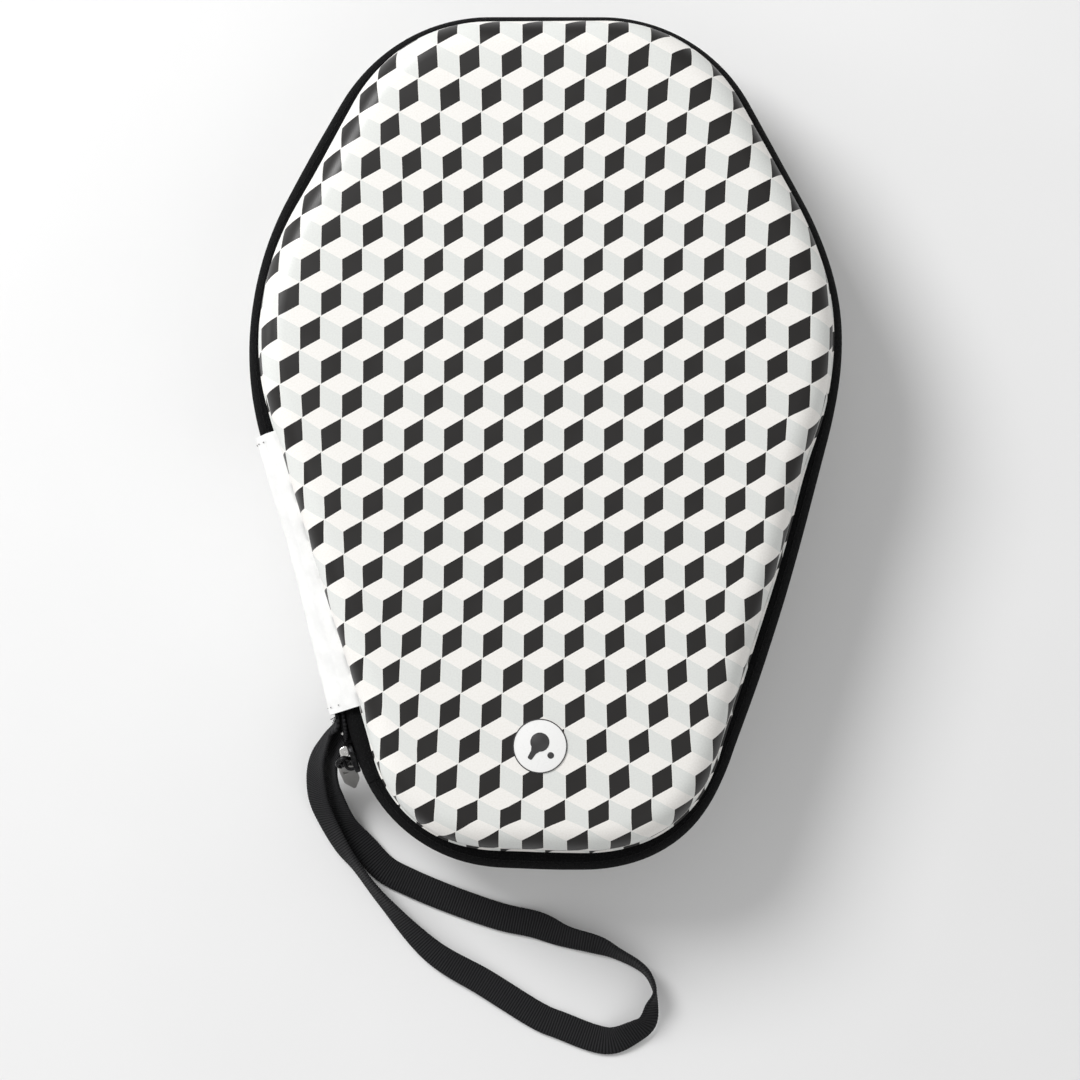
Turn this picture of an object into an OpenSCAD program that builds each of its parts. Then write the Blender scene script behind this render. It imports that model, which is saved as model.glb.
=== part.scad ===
// Hard clamshell case for one table tennis bat: two moulded half shells, a zip round the edge,
// a sewn hinge strip on the lower left side and a webbing wrist loop.
// The case lies flat with its lid up. +Y points to the wide end, +X to the right, +Z up.
// The origin is on the face that the case rests on, under the middle of the case.
// Insets are measured inwards from the outermost line of the zip, heights from the zip's middle.

/* [Outline] */
// Length from the wide end to the narrow end
case_l = 302; // [296:1:308]
// Half width of the wide end, at its sharp corners
top_x = 55.5; // [52:0.5:59]
// Radius of the two corners of the wide end
top_r = 60; // [54:1:64]
// Half width at the widest place, at its sharp corners
side_x = 114; // [110:1:118]
// Distance of the widest place above the middle
side_y = 44; // [36:1:48]
// Radius of the two widest corners
side_r = 112; // [102:1:118]
// Half width of the narrow end, at its sharp corners
low_x = 54.5; // [52:0.5:58]
// Radius of the two corners of the narrow end
low_r = 55; // [51:1:59]

/* [Shells] */
// Height of the closed case
case_h = 66; // [62:1:72]
// Thickness of the moulded foam
foam_t = 3; // [2.5:0.1:3.5]
// Thickness of the lining cloth
lining_t = 0.8; // [0.5:0.1:1]
// Radius of the shoulder between side and top
shoulder_r = 9.4; // [8:0.2:10]
// Inset of the side wall at the top of the side
wall_inset = 5.4; // [5.2:0.1:5.8]
// Height of each shell's lower edge from the zip's middle
rim_z = 9; // [9:0.5:11]
// Rise of the gently domed top over its flat edge
crown = 0.4; // [0.2:0.1:0.6]

/* [Zip] */
// Thickness of the zip tape
tape_t = 0.8; // [0.7:0.05:0.85]
// Half of the slit between the two coils
slit = 0.75; // [0.7:0.05:0.8]
// Length of the slider
slider_l = 11; // [10:0.5:12]
// Length of the puller below its pin
puller_l = 20; // [16:1:22]
// Lean of the puller out of the vertical
puller_lean = 25; // [15:1:28]

/* [Hinge and strap] */
// Straight stretch between the parked slider and the hinge strip
park_gap = 15; // [14:0.5:17]
// Width of the wrist strap
strap_w = 10; // [9:0.5:10]
// Thickness of the wrist strap
strap_t = 1.4; // [1.2:0.1:1.4]

/* [Inside] */
// Width of the elastic band that holds the blade
blade_band_w = 25; // [20:1:30]
// Width of the elastic band that holds the handle
handle_band_w = 20; // [16:1:24]
// Depth of the mesh pocket's net above the zip's middle
net_z = 14; // [13.5:0.5:16]

/* [Badge] */
// Diameter of the badge on the lid
badge_d = 19; // [16:1:22]

/* [Hidden] */

zip_z = case_h / 2;
half_l = case_l / 2;
gap = 0.05;
round_steps = 5;
arc_step = 6.6;

// ---- outline: six rounded corners, clockwise from the hinge's upper end ----
corners = [[-side_x, side_y, side_r], [-top_x, half_l, top_r], [top_x, half_l, top_r],
    [side_x, side_y, side_r], [low_x, -half_l, low_r], [-low_x, -half_l, low_r]];

function unit(v) = v / norm(v);
function right(v) = [v[1], -v[0]];
function turned(v, a) = [v[0] * cos(a) + v[1] * sin(a), v[1] * cos(a) - v[0] * sin(a)];
function corner_xy(k) = [corners[(k + 6) % 6][0], corners[(k + 6) % 6][1]];
function way(k) = unit(corner_xy(k + 1) - corner_xy(k));
function bend(k) = acos(way(k - 1) * way(k));
function tangent(k) = corners[k][2] * tan(bend(k) / 2);
function centre(k) = corner_xy(k) - way(k - 1) * tangent(k) + right(way(k - 1)) * corners[k][2];

// A station is [centre, outward direction, radius], so any inset keeps to the same points.
function station(k, t) = [centre(k), turned(-right(way(k - 1)), bend(k) * t), corners[k][2]];
function steps(k) = ceil(bend(k) / arc_step);
function arc(k, from = 0, to = 1, finer = 1) = let(n = ceil(finer * steps(k) * (to - from) - 0.01))
    [for (j = [0:n]) station(k, from + (to - from) * j / n)];
function place(s, inset) = s[0] + s[1] * (s[2] - inset);

park = place(station(5, 1), 0);
out = station(5, 1)[1];
hinge_low = [park + way(5) * park_gap, out, 0];
hinge_top = station(0, 0);
hinge_l = norm(place(hinge_top, 0) - place(hinge_low, 0));

// The upper tape ends a little before the parked slider, and its tail goes on to the hinge.
tail_t = 0.85;
tail_gap = 0.004;

zip_stations = [for (k = [0:4]) each arc(k)];
ring_stations = concat(zip_stations, arc(5), [hinge_low]);
lid_stations = concat(zip_stations, arc(5, 0, tail_t - tail_gap));
tail_stations = concat(arc(5, tail_t, 1), [hinge_low]);
tape_tail_stations = concat(arc(5, tail_t, 1, 4), [hinge_low]);
pocket_end = ceil(steps(0) / 2) / steps(0);
pocket_stations = concat(arc(3, 1 - pocket_end, 1), arc(4), arc(5), [hinge_low], arc(0, 0, pocket_end));

function ring(stations, inset, z) = [for (s = stations) let(p = place(s, inset)) [p[0], p[1], zip_z + z]];
function outline(inset) = [for (s = ring_stations) place(s, inset)];

// Closes an end of a loft with rungs between the section's two long sides, which meet at its first point.
function end_cap(m, first, way) = [for (j = [0:ceil(m / 2) - 2])
    let(rung = m - 2 - j > j + 1 ? [j, j + 1, m - 2 - j, m - 1 - j] : [j, j + 1, m - 1 - j])
        [for (k = way > 0 ? [0:len(rung) - 1] : [len(rung) - 1:-1:0]) first + rung[k]]];

// ---- lofts ----
// Joins equal sections along a path. Each section runs anticlockwise as seen along the path.
module loft(sections, loop = false) {
    n = len(sections);
    m = len(sections[0]);
    sides = [for (i = [0:n - (loop ? 1 : 2)]) for (j = [0:m - 1])
        let(k = (j + 1) % m, here = i * m, next = (i + 1) % n * m)
            each [[here + j, here + k, next + k], [here + j, next + k, next + j]]];
    ends = loop ? [] : concat(end_cap(m, 0, -1), end_cap(m, (n - 1) * m, 1));
    polyhedron([for (s = sections) each s], concat(sides, ends), convexity = 6);
}

// Sweeps a section of [inset, height] points round the case.
module band(stations, section, loop = false) {
    loft([for (s = stations) [for (q = section) let(p = place(s, q[0])) [p[0], p[1], zip_z + q[1]]]], loop);
}

// Turns a section of [inset, height] points into a cup, from its outer cap to its inner cap.
module cup(section) {
    n = len(ring_stations);
    m = len(section);
    sides = [for (j = [0:m - 2]) for (i = [0:n - 1])
        [j * n + i, (j + 1) * n + i, (j + 1) * n + (i + 1) % n, j * n + (i + 1) % n]];
    caps = [[for (i = [0:n - 1]) i], [for (i = [n - 1:-1:0]) (m - 1) * n + i]];
    polyhedron([for (q = section) each ring(ring_stations, q[0], q[1])], concat(sides, caps), convexity = 6);
}

// Turns an upper piece into its lower twin.
module lower() {
    translate([0, 0, case_h]) mirror([0, 0, 1]) children();
}

// ---- sections of the half shells ----
shoulder_x = wall_inset + shoulder_r;
shoulder_z = zip_z - crown - shoulder_r;
crown_inset = 30;

// The shoulder at a depth of d under the outer skin, from the flat face down to the side wall.
function shoulder(d) = [for (j = [0:round_steps]) let(a = 90 - 90 * j / round_steps, r = shoulder_r - d)
    [shoulder_x - r * cos(a), shoulder_z + r * sin(a)]];
function face(d) = concat([[crown_inset, zip_z - d]], shoulder(d), [[wall_inset - 0.5 + d, rim_z + 3.5]]);
function reversed(v) = [for (i = [len(v) - 1:-1:0]) v[i]];

flange = [[4.4, rim_z + 1.5], [3.6, rim_z + 0.9], [3.6, rim_z]];
shell_section = concat(face(0), flange, [[foam_t + 4.6, rim_z]], reversed(face(foam_t)));

lining_d = foam_t + gap;
lining_section = concat(face(lining_d), [[lining_d + 4.6, rim_z], [lining_d + lining_t + 4.6, rim_z]],
    reversed(face(lining_d + lining_t)));

binding_section = [[8.8, rim_z + 3.5], [8.75, rim_z - 0.95], [5.6, rim_z - 0.95], [5.6, rim_z - 1.7],
    [9.6, rim_z - 1.7], [9.7, rim_z + 3.5]];

// ---- sections of the zip ----
tape_outer = [[7.3, rim_z - 0.15], [4.3, rim_z - 0.15], [2.9, rim_z - 0.9], [1.7, rim_z - 2.2],
    [0.8, 5], [0.15, 3], [0, slit]];
tape_inner = [[tape_t, slit], [tape_t + 0.15, 3], [tape_t + 0.8, 4.7], [tape_t + 1.65, rim_z - 2.7],
    [tape_t + 2.6, rim_z - 1.6], [tape_t + 3.6, rim_z - 0.95], [7.3, rim_z - 0.95]];
tape_section = concat(tape_outer, tape_inner);
coil_section = [[1.1, 2.6], [1.1, 1.2], [1.5, slit], [2.6, slit], [3, 1.3], [3, 2.5], [2.6, 3], [1.6, 3]];

// ---- half shells ----
module lower_shell() {
    color("whitesmoke") lower() cup(shell_section);
}

module upper_shell() {
    color("whitesmoke") cup(shell_section);
}

module lower_lining() {
    color("dimgray") lower() cup(lining_section);
}

module upper_lining() {
    color("dimgray") cup(lining_section);
}

module lower_rim_binding() {
    color("black") lower() band(ring_stations, binding_section, true);
}

module upper_rim_binding() {
    color("black") band(ring_stations, binding_section, true);
}

// ---- zip ----
module lower_zip_tape() {
    color("black") lower() band(ring_stations, tape_section);
}

module lower_zip_coil() {
    color("black") lower() band(ring_stations, coil_section);
}

module upper_zip_tape() {
    color("black") band(lid_stations, tape_section);
}

module upper_zip_coil() {
    color("black") band(lid_stations, coil_section);
}

// Its two ends are cut slightly aslant: the inner line of the section is a little shorter.
module upper_tape_tail() {
    color("black") band(tape_tail_stations, tape_section);
}

module upper_coil_tail() {
    color("black") band(tail_stations, coil_section);
}

// ---- hinge: strip outside, cloth inside, both flexible ----
// The strip bulges more at its lower end, where the strap's ends lie under it.
bulge_top = 0.6;
bulge_low = 3.5;
bulge_share = 0.6;
strip_t = 1;
strip_taller = 1.02;
strip_steps = 8;
end_gap = 0.1;

function bulge(t) = bulge_low + (bulge_top - bulge_low) * min(1, t / bulge_share);
function strip_inner(b) = [[3.3, 11.6], [2.4 - 0.45 * b, 8.6], [-b, 5.4], [-b - 0.3, 0],
    [-b, -5.4], [2.4 - 0.45 * b, -8.6], [3.3, -11.6]];
function strip_section(b) = concat([for (q = strip_inner(b)) [q[0] - strip_t, q[1] * strip_taller]],
    reversed(strip_inner(b)));
// A station of the hinge, from its lower end at 0 to its upper end at 1.
function hinge_station(t) = [place(hinge_low, 0) + way(5) * (end_gap + (hinge_l - 2 * end_gap) * t), out, 0];

module hinge_strip() {
    color("white") loft([for (i = [0:strip_steps]) let(t = i / strip_steps, s = hinge_station(t))
        [for (q = strip_section(bulge(t))) let(p = place(s, q[0])) [p[0], p[1], zip_z + q[1]]]]);
}

module hinge_lining() {
    section = [[5.2, rim_z - 1.8], [5.2, 1.8 - rim_z], [6, 1.8 - rim_z], [6, rim_z - 1.8]];
    color("dimgray") band([hinge_station(0), hinge_station(1)], section);
}

// ---- slider and puller, parked at the hinge's lower end ----
// Local axes: +X out of the tape, +Y along the zip towards the narrow end, +Z up.
slot_out = 0.5;
slot_in = -3.4;
plate_out = 1.5;
plate_in = 1.2;
front_r = 3.8;
rear_r = 3;
pin_r = 0.8;
pin_x = 4.4;
eye_r = 2.2;
eye_bore_r = 1.5;
bridge_l = 7.2;
puller_t = 1.4;

module at_park() {
    translate([park[0], park[1], zip_z]) rotate([0, 0, atan2(out[1], out[0])]) children();
}

// A plate of the slider, wide at the front and narrow at the rear.
module slider_plate(x, thick) {
    front_y = front_r - slider_l / 2;
    rear_y = slider_l / 2 - rear_r;
    translate([x, 0, 0]) rotate([0, 90, 0]) linear_extrude(thick) {
        translate([0, front_y]) circle(front_r, $fn = 48);
        translate([0, rear_y]) circle(rear_r, $fn = 48);
        polygon([[-front_r, front_y], [front_r, front_y], [rear_r, rear_y], [-rear_r, rear_y]]);
    }
}

// Two plates joined by a wedge post between the coils, with a rail along each side of the inner plate.
module zip_slider() {
    post = [slot_out - slot_in + 0.2, 2.6, 0.9];
    rail = [2.6, 5.4, 0.6];
    rail_z = 3.65;
    color("dimgray") at_park() {
        slider_plate(slot_out, plate_out);
        slider_plate(slot_in - plate_in, plate_in);
        translate([slot_in - 0.1, -slider_l / 2 + 1.2, -post[2] / 2]) cube(post);
        for (side = [-1, 1])
            translate([slot_in - plate_in, -3.6, side * rail_z - rail[2] / 2]) cube(rail);
    }
}

// A bar along the slider, held up by a foot at each end.
module slider_bridge() {
    foot_l = 1.2;
    face_x = slot_out + plate_out;
    color("silver") at_park() {
        translate([pin_x, bridge_l / 2, 0]) rotate([90, 0, 0]) cylinder(h = bridge_l, r = pin_r, $fn = 48);
        for (y = [-bridge_l / 2, bridge_l / 2 - foot_l])
            translate([face_x, y, -pin_r]) cube([pin_x - face_x, foot_l, 2 * pin_r]);
    }
}

// The plate hangs on the bridge's bar, across the zip, and leans towards the narrow end.
module zip_puller() {
    neck = 1.5;
    blade = 3.25;
    tip_l = 5;
    half = [[neck, -1], [neck, -4.2], [blade, -6.5], [blade, tip_l - puller_l]];
    color("gray") at_park() translate([pin_x, 0, 0]) rotate([puller_lean, 0, 0]) rotate([90, 0, 0])
        translate([0, 0, -puller_t / 2]) linear_extrude(puller_t) difference() {
            union() {
                circle(eye_r, $fn = 48);
                polygon(concat([for (q = half) [-q[0], q[1]]], [[0, -puller_l]], reversed(half)));
            }
            circle(eye_bore_r, $fn = 48);
        }
}

// ---- wrist strap ----
// The two ends of the strap lie on each other under the hinge strip's lower end.
strap_inner = 0.2 + strap_t / 2;
strap_outer = strap_inner + strap_t + 0.1;
strap_edge = 0.4;
anchor_l = 7;

module at_hinge_low() {
    p = place(hinge_low, 0);
    translate([p[0], p[1], zip_z]) rotate([0, 0, atan2(out[1], out[0])]) children();
}

module strap_anchor() {
    color("black") at_hinge_low() for (x = [strap_inner, strap_outer])
        translate([x - strap_t / 2, -anchor_l, -strap_w / 2]) cube([strap_t, anchor_l, strap_w]);
}

// A row of dense stitches across the strap's outer end.
module strap_bartack() {
    tack = [0.25, 1.2, strap_w - 1.2];
    color("black") at_hinge_low() translate([strap_outer + strap_t / 2, -3.8, -tack[2] / 2]) cube(tack);
}

// Middle line of the strap, round numbers: x, y, z, and the roll of its width from flat, in degrees.
strap_route = [[-71.6, -98, 33, 90], [-73.5, -103, 32, 90], [-75.3, -107.5, 27, 92], [-76.8, -113, 21, 98],
    [-77.2, -120, 13, 102], [-75, -127, 8, 84], [-71.2, -137, 4, 42], [-65, -145.5, 2, 15],
    [-58, -153, 1, 0], [-48.5, -158, 1, 0], [-34, -164, 1, 0], [-16.5, -170, 1, 0], [-3, -173, 2, 10],
    [7.5, -177, 4, 38], [19, -180, 5, 48], [26, -183, 5, 65], [33.5, -187, 6, 73], [37.5, -191, 6, 80],
    [39.5, -196.5, 6, 90], [38.5, -201.5, 6, 115], [36.5, -208, 5, 135], [30.5, -212, 4, 150],
    [24, -214.5, 2, 168], [17, -213.5, 1, 180], [6.5, -209.5, 1, 180], [-3, -205.5, 1, 180],
    [-21.5, -194, 2, 174], [-40.5, -182.5, 4, 150], [-58, -164.5, 6, 116], [-69, -152, 6, 97],
    [-75.5, -145, 6, 110], [-79.5, -135.5, 6, 125], [-82.5, -128, 9, 135], [-83.5, -120, 14, 135],
    [-82.5, -113, 22, 128], [-79, -107, 28, 110], [-76, -102.5, 32, 95], [-73.1, -98.4, 33, 90]];
strap_last = len(strap_route) - 1;

function route(i) = strap_route[max(0, min(strap_last, i))];
// A smooth curve through the route's points: place and roll at i + t.
function along(i, t) = 0.5 * (2 * route(i) + (route(i + 1) - route(i - 1)) * t
    + (2 * route(i - 1) - 5 * route(i) + 4 * route(i + 1) - route(i + 2)) * t * t
    + (3 * route(i) - route(i - 1) - 3 * route(i + 1) + route(i + 2)) * t * t * t);
strap_line = concat([for (i = [0:strap_last - 1]) for (t = [0, 0.5]) along(i, t)], [route(strap_last)]);

function spot(i) = let(p = strap_line[max(0, min(len(strap_line) - 1, i))]) [p[0], p[1], p[2]];
function strap_section(i) = let(
    dir = unit(spot(i + 1) - spot(i - 1)),
    left = unit([-dir[1], dir[0], 0]),
    roll = strap_line[i][3],
    wide = left * cos(roll) + cross(dir, left) * sin(roll),
    thick = cross(dir, wide),
    w = strap_w / 2,
    t = strap_t / 2,
    e = strap_edge,
    half = [[w, t - e], [w, e - t], [w - e, -t], [e - w, -t]])
    [for (q = concat(half, -half)) spot(i) + wide * q[0] + thick * q[1]];

module wrist_strap() {
    color("black") loft([for (i = [0:len(strap_line) - 1]) strap_section(i)]);
}

// ---- inside the base: elastic bands ----
floor_z = foam_t + gap + lining_t + crown;
band_t = 1.2;

// A band across the case: it lies on the floor at both ends and stands over the bat in between.
module elastic_band(y, width, half, rise) {
    tab = 15;
    run = 11;
    bend_in = 0.5;
    low = floor_z + gap;
    upper = [[half, low + band_t], [half - tab, low + band_t], [half - tab - run, low + rise]];
    under = [[half, low], [half - tab - bend_in, low], [half - tab - run - bend_in, low + rise - band_t]];
    right_half = concat(reversed(upper), under);
    translate([0, y + width / 2, 0]) rotate([90, 0, 0]) linear_extrude(width)
        polygon(concat(right_half, [for (p = reversed(right_half)) [-p[0], p[1]]]));
}

// The cloth patches that are sewn over the band's two ends.
module band_patches(y, width, half) {
    patch = [12, width + 2, 0.8];
    edge = 1;
    middle_x = half - edge - patch[0] / 2;
    bottom = floor_z + 2 * gap + band_t;
    for (side = [-1, 1])
        translate([side * middle_x, y, bottom + patch[2] / 2]) cube(patch, center = true);
}

blade_y = 45;
blade_half = 85;
handle_y = -95;
handle_half = 50;

module blade_band() {
    color("black") elastic_band(blade_y, blade_band_w, blade_half, 13.5);
}

module blade_band_patches() {
    color("dimgray") band_patches(blade_y, blade_band_w, blade_half);
}

module handle_band() {
    color("black") elastic_band(handle_y, handle_band_w, handle_half, 16);
}

module handle_band_patches() {
    color("dimgray") band_patches(handle_y, handle_band_w, handle_half);
}

// ---- inside the lid: mesh pocket ----
net_inset = 10;
net_t = 0.6;
hem_w = 7;
hem_t = 1.4;
binding_gap = 0.25;
hem_y = place(station(0, 0.5), net_inset)[1];

module pocket_area(y_low, y_high, thick) {
    translate([0, 0, zip_z + net_z]) linear_extrude(thick) intersection() {
        polygon(outline(net_inset));
        translate([-side_x, y_low]) square([2 * side_x, y_high - y_low]);
    }
}

module mesh_pocket() {
    color("gray") pocket_area(-half_l, hem_y - hem_w, net_t);
}

module pocket_elastic() {
    color("black") translate([0, 0, (net_t - hem_t) / 2]) pocket_area(hem_y - hem_w + gap, hem_y, hem_t);
}

module pocket_binding() {
    outer = 9.1;
    inner = net_inset - binding_gap;
    section = [[outer, net_z + 2.2], [outer, net_z - 0.8], [inner, net_z - 0.8], [inner, net_z + 2.2]];
    color("black") band(pocket_stations, section);
}

// ---- badge ----
badge_at = [-1.2, -107.8];
badge_t = 0.3;
badge_gap = 0.02;

module badge() {
    color("white") translate([badge_at[0], badge_at[1], case_h + badge_gap])
        cylinder(h = badge_t, d = badge_d, $fn = 96);
}

lower_shell();
lower_lining();
lower_rim_binding();
lower_zip_tape();
lower_zip_coil();
upper_shell();
upper_lining();
upper_rim_binding();
upper_zip_tape();
upper_zip_coil();
upper_tape_tail();
upper_coil_tail();
hinge_strip();
hinge_lining();
zip_slider();
slider_bridge();
zip_puller();
strap_anchor();
strap_bartack();
wrist_strap();
blade_band();
blade_band_patches();
handle_band();
handle_band_patches();
mesh_pocket();
pocket_elastic();
pocket_binding();
badge();
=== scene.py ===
"""Looks of a hard clamshell case for one table tennis bat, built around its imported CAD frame.

Lengths are millimetres and become metres when a mesh is made. +Y points to the wide end, +X to
the right and +Z up. An inset is measured inwards from the outermost line of the zip, and a height
from the zip's middle, as in the CAD."""
import math

import bmesh
import bpy
import numpy as np
from mathutils import Matrix, Vector, noise


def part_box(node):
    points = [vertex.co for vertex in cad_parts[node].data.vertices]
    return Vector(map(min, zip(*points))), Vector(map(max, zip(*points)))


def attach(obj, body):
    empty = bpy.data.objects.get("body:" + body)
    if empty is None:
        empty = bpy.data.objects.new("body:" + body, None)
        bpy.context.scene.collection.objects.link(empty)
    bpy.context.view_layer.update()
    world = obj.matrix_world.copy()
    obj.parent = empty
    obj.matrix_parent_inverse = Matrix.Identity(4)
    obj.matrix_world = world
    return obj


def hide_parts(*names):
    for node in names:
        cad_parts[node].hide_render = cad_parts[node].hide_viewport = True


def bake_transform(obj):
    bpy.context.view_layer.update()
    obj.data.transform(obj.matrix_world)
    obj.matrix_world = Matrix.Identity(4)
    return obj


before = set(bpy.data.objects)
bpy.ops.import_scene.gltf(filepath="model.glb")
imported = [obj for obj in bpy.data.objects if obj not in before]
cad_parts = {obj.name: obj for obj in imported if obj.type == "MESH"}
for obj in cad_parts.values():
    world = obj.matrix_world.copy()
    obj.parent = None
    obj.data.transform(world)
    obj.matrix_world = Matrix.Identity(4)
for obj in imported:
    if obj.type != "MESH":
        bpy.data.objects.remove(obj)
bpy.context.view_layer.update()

# ---- driving sizes: the frame gives the case's height and length ----
MM = 0.001
CASE_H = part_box("upper_shell")[1].z / MM
ZIP_Z = CASE_H / 2
HALF_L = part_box("lower_zip_tape")[1].y / MM
# Sharp corners and their radii, clockwise from the hinge's upper end
CORNERS = ((-114, 44, 112), (-55.5, HALF_L, 60), (55.5, HALF_L, 60),
    (114, 44, 112), (54.5, -HALF_L, 55), (-54.5, -HALF_L, 55))
PARK_GAP = 15
RIM_Z = 9
WALL_INSET = 5.4
SHOULDER_R = 9.4
CROWN = 0.4
CROWN_INSET = 30
FOAM_T = 3
LINING_T = 0.8
RING_STEP = 3.0
# The real rim bows a little off the drawn line, and the skin stands further in than the drawn wall.
# Both by place along the zip: for a leg, pairs of a share of that leg and millimetres.
RIM_BOWS = {
    0: ((0.6, 0),),
    1: ((0.45, 0.75),),
    2: ((0.2, 0),),
    6: ((0.1, -0.1), (0.45, 0.55), (0.9, -0.8)),
    7: ((0.1, 0), (0.3, 1), (0.5, 1.5), (0.75, 1.1)),
    8: ((0.05, -0.7), (0.2, -0.4), (0.35, 0.9), (0.6, 1.4), (0.9, 0.7)),
    9: ((0.5, 0.8),),
    10: ((0, 0),),
}
SKIN_PULLS = {
    0: ((0.05, 1.7), (0.25, 0.2), (0.5, -0.3), (0.75, 0.2)),
    1: ((0.1, 1.5), (0.4, 1.75), (0.8, 1.3)),
    2: ((0.5, 0.3),),
    3: ((0.5, 0),),
    4: ((0.7, -0.5),),
    6: ((0, -0.9), (0.4, -0.9), (0.9, -0.4)),
    7: ((0.1, 1.4), (0.3, 1.1), (0.6, 1.6), (0.8, 1.3), (0.95, 0.6)),
    8: ((0.15, -0.2), (0.5, 1.2), (0.75, 1.9)),
    9: ((0.5, 2.4),),
    10: ((0.1, 2.2), (0.25, 1.4), (0.5, 0.8), (0.8, 1.2), (1, 2.2)),
    11: ((0.2, 2.4), (0.6, 1.6), (0.95, 1.6)),
}
# A pull grows from nothing at PULL_INSET to its whole value PULL_RAMP further out.
PULL_INSET = 22
PULL_RAMP = 9
# Share by which the print runs short where the skin turns down over the edge
EDGE_STRETCH = 0.1


# ---- the zip's line ----
def unit(v):
    return v / np.linalg.norm(v)


def right(v):
    return np.array([v[1], -v[0]])


def make_legs():
    """The zip's line as (length, start or centre, direction, radius); a straight leg has radius 0."""
    points = [np.array(c[:2], float) for c in CORNERS]
    ways = [unit(points[(k + 1) % 6] - points[k]) for k in range(6)]
    bends = [math.acos(ways[k - 1] @ ways[k]) for k in range(6)]
    reach = [CORNERS[k][2] * math.tan(bends[k] / 2) for k in range(6)]
    legs = []
    for k in range(6):
        radius = CORNERS[k][2]
        centre = points[k] - ways[k - 1] * reach[k] + right(ways[k - 1]) * radius
        legs.append((radius * bends[k], centre, -right(ways[k - 1]), radius))
        start = points[k] + ways[k] * reach[k]
        end = points[(k + 1) % 6] - ways[k] * reach[(k + 1) % 6]
        legs.append((np.linalg.norm(end - start), start, ways[k], 0))
    return legs


LEGS = make_legs()
LENGTH = sum(leg[0] for leg in LEGS)
S_PARK = sum(leg[0] for leg in LEGS[:-1])
S_LOW = S_PARK + PARK_GAP
# The upper tape's tail runs from S_TAIL; both tapes end under the hinge strip.
S_TAIL = S_PARK - 0.15 * LEGS[-2][0]
S_TAPE_END = S_LOW + 2.2


def by_place(table):
    """A value that runs smoothly round the zip through a table of {leg: ((share, value), ...)}."""
    starts = np.cumsum([0] + [leg[0] for leg in LEGS])
    at = [starts[k] + LEGS[k][0] * share for k in table for share, _ in table[k]]
    values = [value for pairs in table.values() for _, value in pairs]
    return lambda s: float(np.interp(s + np.linspace(-8, 8, 5), at, values, period=LENGTH).mean())


rim_bow = by_place(RIM_BOWS)
skin_pull = by_place(SKIN_PULLS)


def spot(s):
    """The point of the zip's line at s from the hinge's upper end, and its outward direction."""
    s = s % LENGTH
    bow = rim_bow(s)
    for length, origin, way, radius in LEGS:
        if s <= length:
            break
        s -= length
    if not radius:
        return origin + way * s - right(way) * bow, -right(way)
    a = s / radius
    out = np.array([way[0] * math.cos(a) + way[1] * math.sin(a),
        way[1] * math.cos(a) - way[0] * math.sin(a)])
    return origin + out * (radius + bow), out


def stations(start, end, step):
    count = max(2, round((end - start) / step) + 1)
    return [(s, *spot(s)) for s in np.linspace(start, end, count)]


def ring_stations(step=RING_STEP):
    return stations(0, LENGTH, step)[:-1]


def beside(at, out, inset, height):
    """The point at an inset and a height from a place on the zip's line."""
    return np.array([*(at - out * inset), ZIP_Z + height])


PARK, PARK_OUT = spot(S_PARK)
HINGE_LOW = spot(S_LOW)[0]
HINGE_WAY = LEGS[-1][2]


X_AXIS, Y_AXIS, Z_AXIS = np.eye(3)


# ---- mesh tools ----
def linked(name, data):
    """A new object in the scene."""
    obj = bpy.data.objects.new(name, data)
    bpy.context.scene.collection.objects.link(obj)
    return obj


def run_along(points):
    """How far each point lies along a line through all of them."""
    return np.concatenate([[0], np.cumsum(np.linalg.norm(np.diff(points, axis=0), axis=1))])


def mapped(along, across):
    """Map coordinates of a grid from the run of its rows and of its columns."""
    return lambda i, j: np.stack([along[i], across[j]], axis=-1)


def to_object(name, bm, sharp=40):
    """Closes a mesh's normals, sets its smooth edges and links it as an object."""
    bmesh.ops.remove_doubles(bm, verts=bm.verts, dist=1e-8)
    bmesh.ops.recalc_face_normals(bm, faces=bm.faces)
    for face in bm.faces:
        face.smooth = True
    for edge in bm.edges:
        edge.smooth = edge.calc_face_angle(0) < math.radians(sharp)
    mesh = bpy.data.meshes.new(name)
    bm.to_mesh(mesh)
    bm.free()
    return linked(name, mesh)


def grid(name, points, uv, wrap=(False, False), slots=None, sharp=40):
    """An object from an n by m grid of points. uv(i, j) gives map coordinates in millimetres,
    wrap joins its last row or column to its first, and slots gives each column's material."""
    n, m = points.shape[:2]
    i, j = np.meshgrid(np.arange(n - (not wrap[0])), np.arange(m - (not wrap[1])), indexing="ij")
    i, j = i.ravel(), j.ravel()
    ring = ((i, j), (i + 1, j), (i + 1, j + 1), (i, j + 1))
    faces = np.stack([(a % n) * m + b % m for a, b in ring], axis=1)
    mesh = bpy.data.meshes.new(name)
    mesh.from_pydata((points.reshape(-1, 3) * MM).tolist(), [], faces.tolist())
    layer = mesh.uv_layers.new(name="cloth")
    layer.data.foreach_set("uv", np.stack([uv(a, b) for a, b in ring], axis=1).ravel())
    if slots is not None:
        mesh.polygons.foreach_set("material_index", np.asarray(slots, np.int32)[j])
    bm = bmesh.new()
    bm.from_mesh(mesh)
    bpy.data.meshes.remove(mesh)
    open_edges = [e for e in bm.edges if e.is_boundary]
    if open_edges:
        bmesh.ops.holes_fill(bm, edges=open_edges, sides=0)
    return to_object(name, bm, sharp)


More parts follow.
